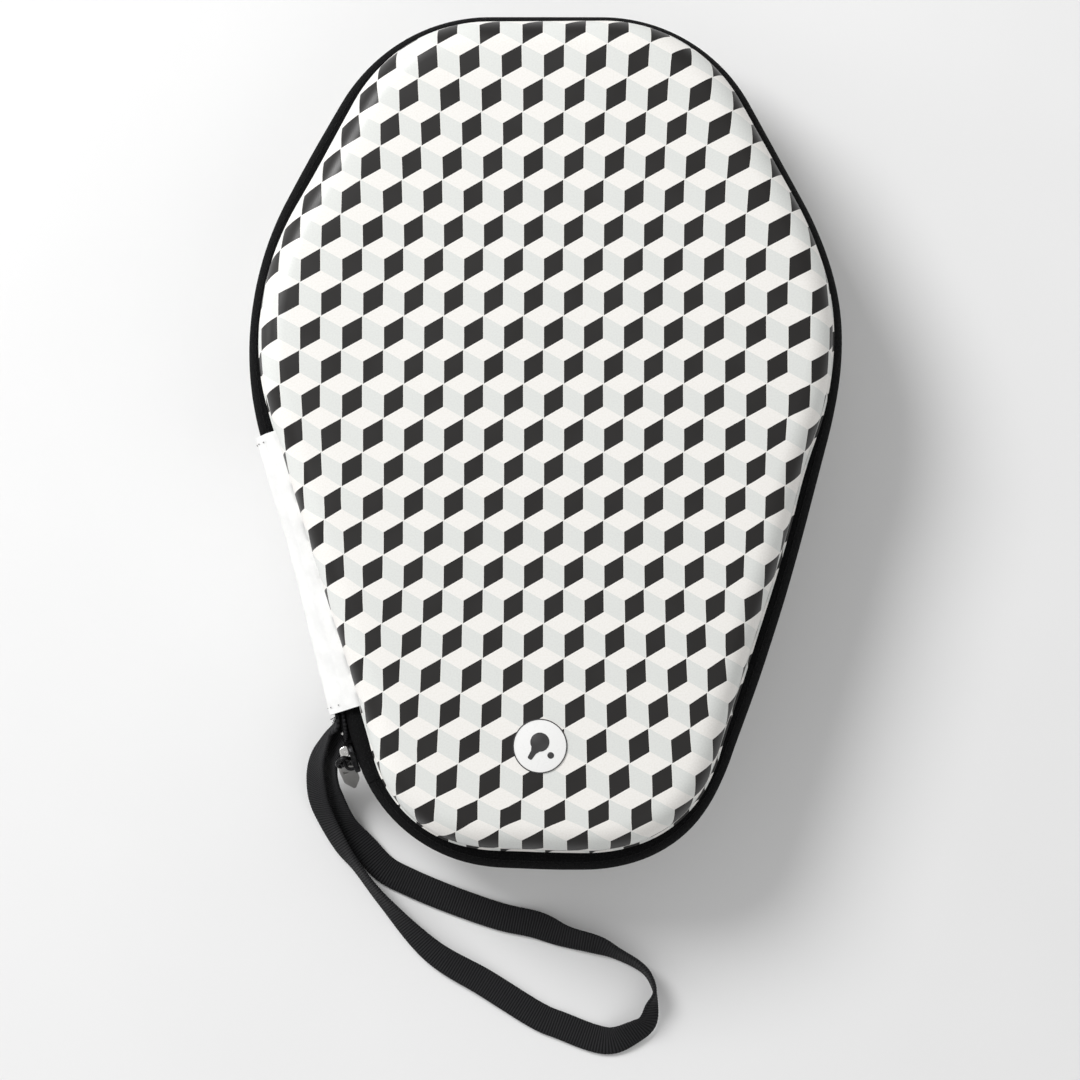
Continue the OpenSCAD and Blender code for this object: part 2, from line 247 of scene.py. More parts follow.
def rounded(points, times=2, closed=True):
    """Cuts the corners of an outline, so that it comes out smooth."""
    p = np.array(points, float)
    for _ in range(times):
        a, b = (p, np.roll(p, -1, 0)) if closed else (p[:-1], p[1:])
        cut = np.stack([a * 0.75 + b * 0.25, a * 0.25 + b * 0.75], axis=1).reshape(-1, p.shape[1])
        p = cut if closed else np.vstack([p[:1], cut[1:-1], p[-1:]])
    return p


def sweep(name, where, section, side=1, loop=False, lift=None, sharp=40):
    """Sweeps a closed section of (inset, height) points along stations. A section may depend on
    the share of the way. side is -1 below the zip, and lift(s, point) moves a point outwards."""
    shares = np.linspace(0, 1, len(where))
    profile = section if callable(section) else lambda share: section
    sections = [np.array(profile(share), float) for share in shares]
    m = len(sections[0])
    points = np.zeros((len(where), m, 3))
    for i, (s, at, out) in enumerate(where):
        inset, height = sections[i][:, 0], sections[i][:, 1]
        if lift is not None:
            inset = inset - np.array([lift(s, x, z) for x, z in sections[i]])
        points[i, :, :2] = at - out * inset[:, None]
        points[i, :, 2] = ZIP_Z + side * height
    across = run_along(np.vstack([sections[0], sections[0][:1]]))
    along = np.array([s for s, _, _ in where] + [where[-1][0] + RING_STEP])
    return grid(name, points, mapped(along, across), wrap=(loop, True), sharp=sharp)


def tubes(name, paths, radius, sides=6, normal=None, flat=1.0):
    """One object of round threads along several paths, each a list of points."""
    bm = bmesh.new()
    layer = bm.loops.layers.uv.new("cloth")
    turn = np.linspace(0, 2 * math.pi, sides, endpoint=False)
    for path in paths:
        p = np.array(path, float)
        ahead = np.gradient(p, axis=0)
        ahead /= np.linalg.norm(ahead, axis=1)[:, None]
        up = Z_AXIS if normal is None else normal
        a = np.cross(ahead, up)
        for k in range(1, len(a)):
            if np.linalg.norm(a[k]) < 1e-3 or a[k] @ a[k - 1] < 0 and normal is None:
                a[k] = a[k - 1] - ahead[k] * (a[k - 1] @ ahead[k])
        a /= np.maximum(np.linalg.norm(a, axis=1), 1e-9)[:, None]
        b = np.cross(a, ahead)
        ring = (p[:, None] + radius * (a[:, None] * np.cos(turn)[None, :, None]
            + flat * b[:, None] * np.sin(turn)[None, :, None]))
        verts = [[bm.verts.new(Vector(v) * MM) for v in row] for row in ring]
        far = run_along(p)
        for i in range(len(verts) - 1):
            for j in range(sides):
                k = (j + 1) % sides
                face = bm.faces.new((verts[i][j], verts[i + 1][j], verts[i + 1][k], verts[i][k]))
                for loop, u, v in zip(face.loops, (i, i + 1, i + 1, i), (j, j, j + 1, j + 1)):
                    loop[layer].uv = (far[u], v * radius)
        bm.faces.new(verts[0])
        bm.faces.new(reversed(verts[-1]))
    return to_object(name, bm, 60)


def stitch(middle, ahead, away, length=2.4, rise=0.18):
    """The path of one stitch: it comes out of the cloth, lies on it and goes back in."""
    shape = ((-0.5, -0.25), (-0.38, 0.6), (0, 1), (0.38, 0.6), (0.5, -0.25))
    return [middle + ahead * length * a + away * rise * b for a, b in shape]


def track_stitches(name, start, end, inset, height, tilt, side=1, pitch=3.2, radius=0.22):
    """Stitches along the zip's line, at an inset and a height. tilt is the angle at which the
    cloth there faces: 0 outwards, 90 away from the zip, 180 into the case."""
    paths = []
    c, s = math.cos(math.radians(tilt)), math.sin(math.radians(tilt))
    for _, at, out in stations(start + pitch / 2, end - pitch / 2, pitch):
        middle = beside(at, out, inset, side * height)
        away = np.array([*(out * c), side * s])
        paths.append(stitch(middle, np.array([*right(out), 0]), away))
    return tubes(name, paths, radius, sides=5)


def plate(name, outline, thick, holes=(), bevel=0.25, segments=3):
    """A flat plate in the x-y plane, centred on z, with holes and rounded edges."""
    curve = bpy.data.curves.new(name, "CURVE")
    curve.dimensions = "2D"
    curve.fill_mode = "BOTH"
    for ring in (outline, *holes):
        spline = curve.splines.new("POLY")
        spline.points.add(len(ring) - 1)
        spline.points.foreach_set("co", np.array([(*p, 0, 1) for p in ring], float).ravel())
        spline.use_cyclic_u = True
    curve.extrude = thick / 2 - bevel
    curve.bevel_depth = bevel
    curve.offset = -bevel
    curve.bevel_resolution = segments
    holder = bpy.data.objects.new(name, curve)
    mesh = bpy.data.meshes.new_from_object(holder)
    bpy.data.objects.remove(holder)
    bpy.data.curves.remove(curve)
    bm = bmesh.new()
    bm.from_mesh(mesh)
    bpy.data.meshes.remove(mesh)
    bmesh.ops.remove_doubles(bm, verts=bm.verts, dist=1e-4)
    bmesh.ops.scale(bm, vec=(MM, MM, MM), verts=bm.verts)
    return to_object(name, bm, 30)


def joined(name, objects):
    """Several objects as one, in the first one's place."""
    bm = bmesh.new()
    for o in objects:
        o.data.transform(o.matrix_world)
        bm.from_mesh(o.data)
        bpy.data.objects.remove(o)
    for face in bm.faces:
        face.smooth = True
    mesh = bpy.data.meshes.new(name)
    bm.to_mesh(mesh)
    bm.free()
    return linked(name, mesh)


def wave(p, size, seed=0.0):
    """Smooth noise from -1 to 1 that repeats nothing, for a point in millimetres."""
    return noise.noise(Vector((p[0] / size + seed, p[1] / size, p[2] / size)))


def dress(obj, body, slot, *materials, nodes=()):
    """Gives a piece its materials and hides the CAD nodes that it stands for. A body given by name becomes
    the piece's parent; any other body is not read, and the piece's place is fixed into its mesh. slot is not
    used.
    """
    obj.data.materials.clear()
    for material in materials:
        obj.data.materials.append(material)
    if isinstance(body, str):
        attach(obj, body)
    else:
        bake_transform(obj)
    if nodes:
        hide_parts(*nodes)
    return obj


def hinge_bend(low, high):
    """Two points midway between the parked slider and the hinge's lower end, at a low and a high height, in
    metres.
    """
    x, y = (PARK + HINGE_LOW) / 2 * MM
    return (x, y, (ZIP_Z + low) * MM), (x, y, (ZIP_Z + high) * MM)


# ---- materials ----
class Paint:
    """A material of one Principled shader, with short names for the nodes that drive it."""

    def __init__(self, name, colour=(0.8, 0.8, 0.8), roughness=0.5, **values):
        self.material = bpy.data.materials.new(name)
        self.material.use_nodes = True
        self.tree = self.material.node_tree
        self.shader = next(n for n in self.tree.nodes if n.type == "BSDF_PRINCIPLED")
        self.set("Base Color", (*colour, 1))
        self.set("Roughness", roughness)
        for key, value in values.items():
            self.set(key.replace("_", " ").title().replace("Ior", "IOR"), value)

    def set(self, key, value):
        self.link(self.shader.inputs[key], value)

    def link(self, socket, value):
        if isinstance(value, bpy.types.NodeSocket):
            self.tree.links.new(value, socket)
        else:
            socket.default_value = value

    def node(self, kind, **settings):
        made = self.tree.nodes.new("ShaderNode" + kind)
        for key, value in settings.items():
            setattr(made, key, value)
        return made

    def maths(self, operation, *values):
        made = self.node("Math", operation=operation)
        for socket, value in zip(made.inputs, values):
            self.link(socket, value)
        return made.outputs[0]

    def smooth(self, value, low, high, start=0.0, end=1.0):
        made = self.node("MapRange", interpolation_type="SMOOTHSTEP")
        for socket, v in zip(made.inputs, (value, low, high, start, end)):
            self.link(socket, v)
        return made.outputs[0]

    def mix(self, share, first, second):
        made = self.node("Mix", data_type="RGBA")
        self.link(made.inputs[0], share)
        for socket, value in ((made.inputs[6], first), (made.inputs[7], second)):
            self.link(socket, value if isinstance(value, bpy.types.NodeSocket) else (*value, 1))
        return made.outputs[2]

    def cloth(self):
        """Map coordinates in millimetres, as two sockets and the vector."""
        vector = self.node("UVMap", uv_map="cloth").outputs[0]
        apart = self.node("SeparateXYZ")
        self.link(apart.inputs[0], vector)
        return apart.outputs[0], apart.outputs[1], vector

    def place(self):
        """The place in the object's own frame, in millimetres."""
        scaled = self.node("VectorMath", operation="SCALE")
        self.link(scaled.inputs[0], self.node("TexCoord").outputs["Object"])
        scaled.inputs["Scale"].default_value = 1 / MM
        return scaled.outputs[0]

    def noise(self, vector, scale, detail=3, roughness=0.55):
        made = self.node("TexNoise")
        self.link(made.inputs["Vector"], vector)
        made.inputs["Scale"].default_value = scale
        made.inputs["Detail"].default_value = detail
        made.inputs["Roughness"].default_value = roughness
        return made.outputs[0]

    def bump(self, height, depth, strength=1.0):
        """Bump of a height from 0 to 1, depth in millimetres."""
        made = self.node("Bump")
        made.inputs["Strength"].default_value = strength
        made.inputs["Distance"].default_value = depth * MM
        self.link(made.inputs["Height"], height)
        self.link(self.shader.inputs["Normal"], made.outputs[0])


def add_word(word, operation):
    setattr(Paint, word, lambda self, *values: self.maths(operation, *values))


for words in (("plus", "ADD"), ("minus", "SUBTRACT"), ("times", "MULTIPLY"), ("divided", "DIVIDE"),
    ("above", "GREATER_THAN"), ("below", "LESS_THAN"), ("sine", "SINE"), ("positive", "ABSOLUTE"),
    ("fraction", "FRACT"), ("whole", "FLOOR")):
    add_word(*words)

# Cubes of the print: half width, rise of a slanted edge, height of an upright edge
CUBE_A, CUBE_B, CUBE_C = 7.01, 4.03, 7.82
CUBE_AT = (-7.21, 5.66)
HAIRLINE = 0.16
WARM_WHITE = (0.86, 0.84, 0.81)
PALE_GREY = (0.72, 0.735, 0.71)
SOFT_BLACK = (0.0085, 0.0072, 0.0066)


def printed_skin():
    """Glossy film over foam, printed with rows of cubes: a white top, a grey and a black side."""
    p = Paint("printed_skin", roughness=0.45, coat_weight=0.12, coat_roughness=0.25, specular_ior_level=0.4)
    x, y, vector = p.cloth()
    column = p.divided(p.minus(x, CUBE_AT[0]), CUBE_A)
    share = p.fraction(column)
    odd = p.above(p.fraction(p.times(p.whole(column), 0.5)), 0.25)
    even = p.minus(1.0, odd)
    # A column left of a cube's middle is odd. rise is 0 at a cube's outer corner and CUBE_B at its middle.
    to_middle = p.plus(p.times(share, odd),
        p.times(p.minus(1.0, share), even))
    rise = p.times(to_middle, CUBE_B)
    period = 2 * (CUBE_B + CUBE_C)
    down = p.maths("FLOORED_MODULO", p.minus(CUBE_AT[1], y), period)
    first = p.times(p.above(down, rise),
        p.below(down, p.plus(rise, CUBE_C)))
    last = p.minus(period, rise)
    second = p.times(p.below(down, last),
        p.above(down, p.minus(last, CUBE_C)))
    grey = p.plus(p.times(first, odd), p.times(second, even))
    black = p.plus(p.times(first, even), p.times(second, odd))
    edge = p.times(p.maths("MINIMUM", share, p.minus(1.0, share)), CUBE_A)
    black = p.times(black, p.above(edge, HAIRLINE))
    grain = p.noise(vector, 1.7, 4)
    white = p.mix(p.smooth(grain, 0.35, 0.7), WARM_WHITE, (0.81, 0.79, 0.75))
    pale = p.mix(p.smooth(grain, 0.35, 0.7), PALE_GREY, (0.68, 0.69, 0.67))
    p.set("Base Color", p.mix(black, p.mix(grey, white, pale), SOFT_BLACK))
    p.set("Roughness", p.smooth(p.noise(vector, 0.06, 2), 0.3, 0.7, 0.38, 0.48))
    p.bump(p.noise(vector, 2.6, 3), 0.012, 0.6)
    return p.material


def mottled(name, colour, marks, dull, grain, depth, **values):
    """Something smooth whose roughness varies between two values in soft marks, with a fine grain."""
    p = Paint(name, colour, dull[0], **values)
    p.set("Roughness", p.smooth(p.noise(p.place(), marks, 3), 0.3, 0.7, *dull))
    p.bump(p.noise(p.place(), *grain), depth)
    return p.material


def leather(name, colour, roughness, depth=0.035):
    """Smooth coated cloth with a fine pebbled grain and faint creases."""
    p = Paint(name, colour, roughness, coat_weight=0.25, coat_roughness=0.25)
    grain = p.node("TexVoronoi", feature="DISTANCE_TO_EDGE")
    p.link(grain.inputs["Vector"], p.place())
    grain.inputs["Scale"].default_value = 1.6
    pebbles = p.smooth(grain.outputs["Distance"], 0.0, 0.3)
    creases = p.noise(p.place(), 0.12, 4)
    darker = tuple(c * 0.9 for c in colour)
    p.set("Base Color", p.mix(p.smooth(creases, 0.3, 0.7), colour, darker))
    p.bump(p.plus(p.times(pebbles, 0.6), creases), depth)
    return p.material


def woven(name, colour, pitch, roughness=0.75, depth=0.12, skew=0.0, sheen=0.05, light=1.9, shine=0.12):
    """Plain or twill cloth: threads over and under each other, pitch millimetres apart."""
    p = Paint(name, colour, roughness, sheen_weight=sheen, sheen_roughness=0.4, specular_ior_level=shine)
    x, y, vector = p.cloth()
    a = p.plus(p.divided(x, pitch[0]), p.times(y, skew))
    b = p.divided(y, pitch[1])
    step = p.plus(p.whole(a), p.whole(b))
    over = p.above(p.fraction(p.times(step, 0.5)), 0.25)
    thread = [p.sine(p.times(p.fraction(v), math.pi)) for v in (a, b)]
    height = p.plus(p.times(thread[0], over),
        p.times(thread[1], p.minus(1.0, over)))
    fuzz = p.noise(vector, 0.8, 4, 0.7)
    flecks = p.smooth(p.noise(vector, 1.5, 2, 0.7), 0.5, 0.72)
    # Painted shade: the colour follows the threads' height, dark where they sink between each other and light
    # on their tops; the flecks mixed in are the cloth's own specks. light sets the lightest tone.
    painted_shade_and_mottle = p.plus(p.times(height, 0.35), p.times(flecks, 0.65))
    p.set("Base Color", p.mix(painted_shade_and_mottle, tuple(c * 0.6 for c in colour), tuple(c * light for c in colour)))
    p.set("Roughness", p.smooth(fuzz, 0.3, 0.7, roughness - 0.1, min(1, roughness + 0.1)))
    p.bump(p.plus(height, p.times(fuzz, 0.4)), depth)
    return p.material


def ribbed(name, colour, pitch, roughness=0.6, depth=0.15, shine=0.12, light=3.2):
    """Webbing or elastic, with a rib every pitch millimetres along it and fine yarns across; its colour is
    painted shade, darker in the gaps between ribs and lighter on their tops.
    """
    p = Paint(name, colour, roughness, sheen_weight=0.02, sheen_roughness=0.35, specular_ior_level=shine)
    x, y, vector = p.cloth()
    rib = p.smooth(p.positive(p.sine(p.times(x, math.pi / pitch))), 0.35, 0.85)
    yarn = p.positive(p.sine(p.times(y, math.pi / 0.45)))
    fuzz = p.noise(vector, 1.2, 4, 0.7)
    height = p.plus(rib, p.times(yarn, 0.35))
    # Painted shade and highlight: the colour runs from a fifth of the base colour in the gaps between ribs up
    # to light times it on the rib tops; the fuzz adds random tone.
    painted_shade_and_mottle = p.plus(p.times(height, 0.55), p.times(fuzz, 0.4))
    p.set("Base Color", p.mix(painted_shade_and_mottle, tuple(c * 0.2 for c in colour), tuple(c * light for c in colour)))
    p.bump(p.plus(height, p.times(fuzz, 0.5)), depth)
    return p.material


def thread(name, colour):
    p = Paint(name, colour, 0.65, specular_ior_level=0.2)
    x, y, vector = p.cloth()
    twist = p.sine(p.times(p.plus(x, p.times(y, 1.5)), 9))
    # Painted shade: the colour is darker in the grooves of the twist, where the bump sinks.
    p.set("Base Color", p.mix(p.smooth(twist, -1, 1), tuple(c * 0.6 for c in colour), colour))
    p.bump(twist, 0.05)
    return p.material


def plated(name, colour, roughness, wear):
    """Plated zinc with fine marks and soft patches worn a little brighter."""
    p = Paint(name, colour, roughness, metallic=1.0)
    marks = p.noise(p.place(), 1.1, 5, 0.65)
    fine = p.noise(p.place(), 6.0, 3, 0.6)
    p.set("Base Color", p.mix(p.smooth(marks, 0.45, 0.75), colour, wear))
    p.set("Roughness", p.smooth(marks, 0.3, 0.75, roughness - 0.08, roughness + 0.12))
    p.bump(fine, 0.01)
    return p.material


# The webbing's ribs, apart
RIB = 0.95
SKIN = printed_skin()
# The film's plain edge, where it is cut and folded over the rim, coloured near white all round; this white
# band is also a painted highlight, standing in for the light caught along the lip's turned edge.
FILM_EDGE = mottled("film_edge", (0.85, 0.84, 0.82), 0.3, (0.36, 0.5), (0.9, 2), 0.03)
HINGE_LEATHER = leather("hinge_leather", (0.88, 0.88, 0.87), 0.36)
LINING = woven("lining_cloth", (0.045, 0.046, 0.050), (0.9, 0.6), 0.85, 0.08, skew=0.8)
BINDING = woven("binding_cloth", (0.022, 0.022, 0.023), (0.7, 0.7), 0.8, 0.12, skew=0.7)
DEEP_BLACK = (0.0035, 0.0035, 0.0037)
TAPE = woven("zip_tape_cloth", DEEP_BLACK, (0.62, 0.5), sheen=0.0, light=5, shine=0.04)
# The webbing's ribs are painted up to nine times the base colour on their tops and dark in the gaps: painted
# highlight and shade.
WEBBING = ribbed("webbing", DEEP_BLACK, RIB, shine=0.04, light=9)
ELASTIC = ribbed("elastic", (0.03, 0.03, 0.032), 1.1)
PATCH = woven("patch_cloth", (0.06, 0.06, 0.064), (0.6, 0.6), 0.85, 0.1)
NETTING = thread("netting", (0.06, 0.06, 0.065))
BLACK_THREAD = thread("black_thread", (0.007, 0.007, 0.0073))
WHITE_THREAD = thread("white_thread", (0.80, 0.80, 0.79))
DARK_THREAD = thread("hinge_thread", (0.16, 0.155, 0.15))
COIL = mottled("coil_nylon", (0.018, 0.018, 0.019), 0.8, (0.3, 0.48), (3.0, 3), 0.02)
GUNMETAL = plated("gunmetal", (0.018, 0.018, 0.019), 0.34, (0.05, 0.05, 0.05))
BRIGHT = plated("bright_plating", (0.72, 0.71, 0.69), 0.2, (0.86, 0.85, 0.83))
SATIN_GREY = plated("satin_grey", (0.34, 0.335, 0.325), 0.5, (0.40, 0.395, 0.385))
INK = {"marks": 0.4, "grain": (2.0, 2), "depth": 0.006, "coat_weight": 0.3, "coat_roughness": 0.2}
BADGE_WHITE = mottled("badge_white", (0.86, 0.86, 0.85), dull=(0.24, 0.38), **INK)
BADGE_BLACK = mottled("badge_black", (0.03, 0.029, 0.03), dull=(0.29, 0.43), **INK)


# ---- camera ----
def make_camera():
    """Above the narrow end, a little under 1.5 m away, looking down at the case."""
    data = bpy.data.cameras.new("camera")
    data.sensor_width = 36
    data.lens = 128.7
    camera = linked("camera", data)
    camera.location = Vector((14, -92, 1400)) * MM
    aim = Vector((-1.74, -35.22, 32)) * MM
    back = (camera.location - aim).normalized()
    across = Vector((-0.0021, 1, 0)).cross(back).normalized()
    camera.rotation_euler = Matrix((across, back.cross(across), back)).transposed().to_euler()
    bpy.context.scene.camera = camera


make_camera()

# ---- wrist strap ----
STRAP_W = 10
STRAP_T = 1.4
STRAP_HIDDEN = 7
# Middle line of the strap: x, y, z, and the roll of its width from flat, in degrees. Beside the
# puller its two legs lie a millimetre or two closer together than in the CAD.
STRAP_ROUTE = (
    (-71.6, -98, 33, 80), (-72.2, -103, 30, 50), (-74.2, -107.5, 26, 48), (-76.4, -113, 21, 52),
    (-77, -120, 14, 52), (-75.6, -127, 9, 48), (-71.6, -137, 4, 38), (-65, -145.5, 2, 15),
    (-58, -153, 1, 0), (-48.5, -158, 1, 0), (-34, -164, 1, 0), (-16.5, -170, 1, 0),
    (-3, -173, 2, 10), (7.5, -177, 4, 38), (19, -180, 5, 48), (26, -183, 5, 65),
    (33.5, -187, 6, 73), (37.5, -191, 6, 80), (39.5, -196.5, 6, 90), (38.5, -201.5, 6, 115),
    (36.5, -208, 5, 135), (30.5, -212, 4, 150), (24, -214.5, 2, 168), (17, -213.5, 1, 180),
    (6.5, -209.5, 1, 180), (-3, -205.5, 1, 180), (-21.5, -194, 2, 174), (-40.5, -182.5, 4, 150),
    (-58, -164.5, 6, 116), (-67.5, -152.5, 6, 110), (-73.2, -145, 6, 122), (-78.6, -135.5, 6, 130),
    (-81.4, -128, 9, 136), (-82, -120, 14, 136), (-80.8, -113, 20, 126), (-77.9, -107, 25, 112),
    (-75, -102.5, 29, 99), (-73, -99.2, 33, 92))


def strap_line(step):
    """The strap's middle line and roll, step millimetres apart, from one sewn end to the other."""
    route = np.array(STRAP_ROUTE, float)
    inside = np.array([*(HINGE_WAY * STRAP_HIDDEN), 0, 0])
    route = np.vstack([route[0] + inside, route, route[-1] + inside])
    dense = []
    for k in range(len(route) - 1):
        a, b, c, d = (route[max(0, min(len(route) - 1, k + e))] for e in (-1, 0, 1, 2))
        for t in np.linspace(0, 1, 24, endpoint=False):
            dense.append(0.5 * (2 * b + (c - a) * t + (2 * a - 5 * b + 4 * c - d) * t * t
                + (3 * b - a - 3 * c + d) * t ** 3))
    dense = np.array(dense + [route[-1]])
    far = run_along(dense[:, :3])
    at = np.arange(0, far[-1], step)
    return np.stack([np.interp(at, far, dense[:, k]) for k in range(4)], axis=1), at


def wrist_strap():
    """Webbing with a real rib across it every RIB millimetres and rounded selvedges."""
    line, far = strap_line(RIB / 4)
    centre, roll = line[:, :3], np.radians(line[:, 3])
    smooth = max(1, round(2 / (RIB / 4)))
    ahead = centre[np.minimum(np.arange(len(centre)) + smooth, len(centre) - 1)] \
        - centre[np.maximum(np.arange(len(centre)) - smooth, 0)]
    ahead /= np.linalg.norm(ahead, axis=1)[:, None]
    left = np.stack([-ahead[:, 1], ahead[:, 0], np.zeros(len(ahead))], axis=1)
    left /= np.linalg.norm(left, axis=1)[:, None]
    wide = left * np.cos(roll)[:, None] + np.cross(ahead, left) * np.sin(roll)[:, None]
    thick = np.cross(ahead, wide)
    w, t = STRAP_W / 2, STRAP_T / 2
    half = [(w - 0.05, 0.28), (w - 0.5, t * 0.8), (w - 1.4, t), (2.4, t * 0.96), (1.2, t),
        (0, t * 0.96), (-1.2, t), (-2.4, t * 0.96), (1.4 - w, t), (0.5 - w, t * 0.8), (0.05 - w, 0.28)]
    section = np.array(half + [(-a, -b) for a, b in half])
    rib = 0.10 * np.abs(np.sin(math.pi * far / RIB))[:, None] - 0.05
    depth = section[None, :, 1] + np.sign(section[None, :, 1]) * rib
    width = section[None, :, 0] * (1 + 0.006 * np.sin(2 * math.pi * far / RIB))[:, None]
    points = centre[:, None] + wide[:, None] * width[..., None] + thick[:, None] * depth[..., None]
    across = run_along(np.vstack([section, section[:1]]))
    obj = grid("wrist_strap_webbing", points, mapped(far, across), wrap=(False, True), sharp=75)
    dress(obj, "base", "webbing", WEBBING, nodes=("wrist_strap", "strap_anchor"))


wrist_strap()


# ---- shells ----
def skin_profile(depth, lip):
    """(inset, height) points of a shell's skin at a depth, from the flat top down to its lip."""
    flat_edge = WALL_INSET + SHOULDER_R
    top = []
    for share in np.linspace(0, 1, 5)[:-1]:
        inset = CROWN_INSET + (flat_edge - CROWN_INSET) * share
        top.append((inset, ZIP_Z - depth - CROWN * share ** 2))
    r = SHOULDER_R - depth
    shoulder = [(flat_edge - r * math.cos(a), ZIP_Z - CROWN - SHOULDER_R + r * math.sin(a))
        for a in np.radians(np.linspace(90, 0, 10))]
    wall_top = shoulder[-1]
    wall_end = (WALL_INSET - 0.5 + depth, RIM_Z + 3.5)
    wall = [tuple(np.array(wall_top) * (1 - t) + np.array(wall_end) * t) for t in (0.33, 0.66, 1)]
    return top + shoulder + wall + lip


def cup(name, outer, inner, side, slots, wobble=0.0, mirror=1):
    """A cup from an outer and an inner profile, each going on to the middle of its flat top."""
    where = ring_stations()
    shares = np.linspace(0, 1, 12)[:-1]
    count = len(shares)
    columns = 2 * count + len(outer) + len(inner)
    points = np.zeros((len(where), columns, 3))
    flat = np.zeros((len(where), columns, 2))
    runs = run_along(np.array(outer))
    over = np.maximum(0, runs - (CROWN_INSET - WALL_INSET - SHOULDER_R))
    runs = runs - over * EDGE_STRETCH
    for i, (s, at, out) in enumerate(where):
        crown = at - out * CROWN_INSET
        pull = skin_pull(s)
        for j, share in enumerate(shares):
            points[i, j] = (*(crown * share), ZIP_Z + side * outer[0][1])
            flat[i, j] = crown * share
            points[i, -1 - j] = (*(crown * share), ZIP_Z + side * inner[0][1])
        for j, (inset, height) in enumerate(outer):
            moved = inset + pull * min(1, max(0, PULL_INSET - inset) / PULL_RAMP) if wobble else inset
            points[i, count + j] = beside(at, out, moved, side * height)
            flat[i, count + j] = crown + out * runs[j]
        for j, (inset, height) in enumerate(reversed(inner)):
            points[i, count + len(outer) + j] = beside(at, out, inset, side * height)
    if wobble:
        waves(points[:, :count + 16], wobble, side)
    flat = print_map(flat) * (mirror, 1)
    return grid(name, points, lambda i, j: flat[i % len(where), j], wrap=(True, False), slots=slots, sharp=50)


def waves(points, amount, side):
    """Lifts and sinks a skin by the slight waves that moulded foam has."""
    for i in range(points.shape[0]):
        for j in range(points.shape[1]):
            p = points[i, j]
            p[2] += side * amount * (wave(p, 34, side * 7.0) + 0.4 * wave(p, 13, 3.0))


def print_map(flat):
    """Where each place of the skin lies on the flat print. The film is stretched over the mould:
    across by up to 7 % at the two ends and by 5 % at the sides, and along at the narrow end."""
    x, y = flat[..., 0], flat[..., 1]
    ends = np.maximum(0, np.abs(y - 10) - 45) ** 2 * 1.04e-5
    sides = np.sign(x) * np.maximum(0, np.abs(x) - 55) * 0.05
    across = (x - sides) / (0.988 + ends)
    along = y + np.maximum(0, -y - 45) ** 2 * 2.2e-4
    return np.stack([across + 0.0024 * along, along - 0.0024 * across], axis=-1)


LIP = [(4.8, RIM_Z + 1.9), (4.65, RIM_Z + 1.3), (4.45, RIM_Z + 1.05)]
LIP_EDGE = [(4.2, RIM_Z + 0.9), (4.05, RIM_Z + 0.65), (4.05, RIM_Z + 0.25), (4.25, RIM_Z + 0.02)]


def shell(name, body, side):
    outer = skin_profile(0, LIP + LIP_EDGE)
    inner = skin_profile(FOAM_T, [(FOAM_T + 4.6, RIM_Z + 0.02)])
    top = 11 + len(outer) - len(LIP_EDGE) - 1
    slots = [0] * top + [1] * (22 + len(outer) + len(inner) - top)
    obj = cup(name + "_skin", outer, inner, side, slots, wobble=0.16, mirror=side)
    dress(obj, body, "printed_skin", SKIN, FILM_EDGE, nodes=(name,))


def lining(name, body, side):
    depth = FOAM_T + 0.05
    outer = skin_profile(depth, [(depth + 4.6, RIM_Z + 0.02)])
    inner = skin_profile(depth + LINING_T, [(depth + LINING_T + 4.6, RIM_Z + 0.02)])
    obj = cup(name + "_cloth", outer, inner, side, None)
    dress(obj, body, "lining", LINING, nodes=(name,))


# Each half: its body, its name, its side of the zip and the end of its tape
HALVES = (("lid", "upper", 1, S_TAIL - 0.2), ("base", "lower", -1, S_TAPE_END))
for body_name, half_name, half_side, _ in HALVES:
    shell(half_name + "_shell", body_name, half_side)
    lining(half_name + "_lining", body_name, half_side)

# ---- rim bindings ----
BINDING_SECTION = rounded([(8.85, RIM_Z + 3.6), (8.8, RIM_Z + 1), (8.75, RIM_Z - 0.95), (7, RIM_Z - 0.95),
    (5.6, RIM_Z - 0.95), (5.55, RIM_Z - 1.75), (7.6, RIM_Z - 1.85),
    (9.6, RIM_Z - 1.75), (9.8, RIM_Z + 0.8), (9.75, RIM_Z + 3.6)])
for body_name, half_name, half_side, _ in HALVES:
    rim = sweep(half_name + "_rim_binding_tape", ring_stations(), BINDING_SECTION, half_side, loop=True)
    dress(rim, body_name, "binding", BINDING, nodes=(half_name + "_rim_binding",))
    seam = track_stitches(half_name + "_rim_stitches", 0, LENGTH, 9.85, RIM_Z + 1.6, 180, half_side)
    dress(seam, body_name, "thread", BLACK_THREAD)

# ---- zip ----
TAPE_T = 0.8
TAPE_LINE = [(7.3, RIM_Z - 0.14), (4.5, RIM_Z - 0.14), (3.6, RIM_Z - 0.4), (2.7, RIM_Z - 1.1),
    (1.85, RIM_Z - 2.1), (1.15, RIM_Z - 3.4), (0.6, RIM_Z - 4.7), (0.25, 3.1), (0.32, 2.7),
    (0.1, 2.2), (0, 1.2), (0.02, 0.12)]


def tape_section():
    """The tape's outer line and, TAPE_T behind it, its inner line."""
    line = rounded(TAPE_LINE, 1, closed=False)
    way = np.gradient(line, axis=0)
    way /= np.linalg.norm(way, axis=1)[:, None]
    back = line + np.stack([-way[:, 1], way[:, 0]], axis=1) * TAPE_T
    return np.vstack([line, back[::-1]])


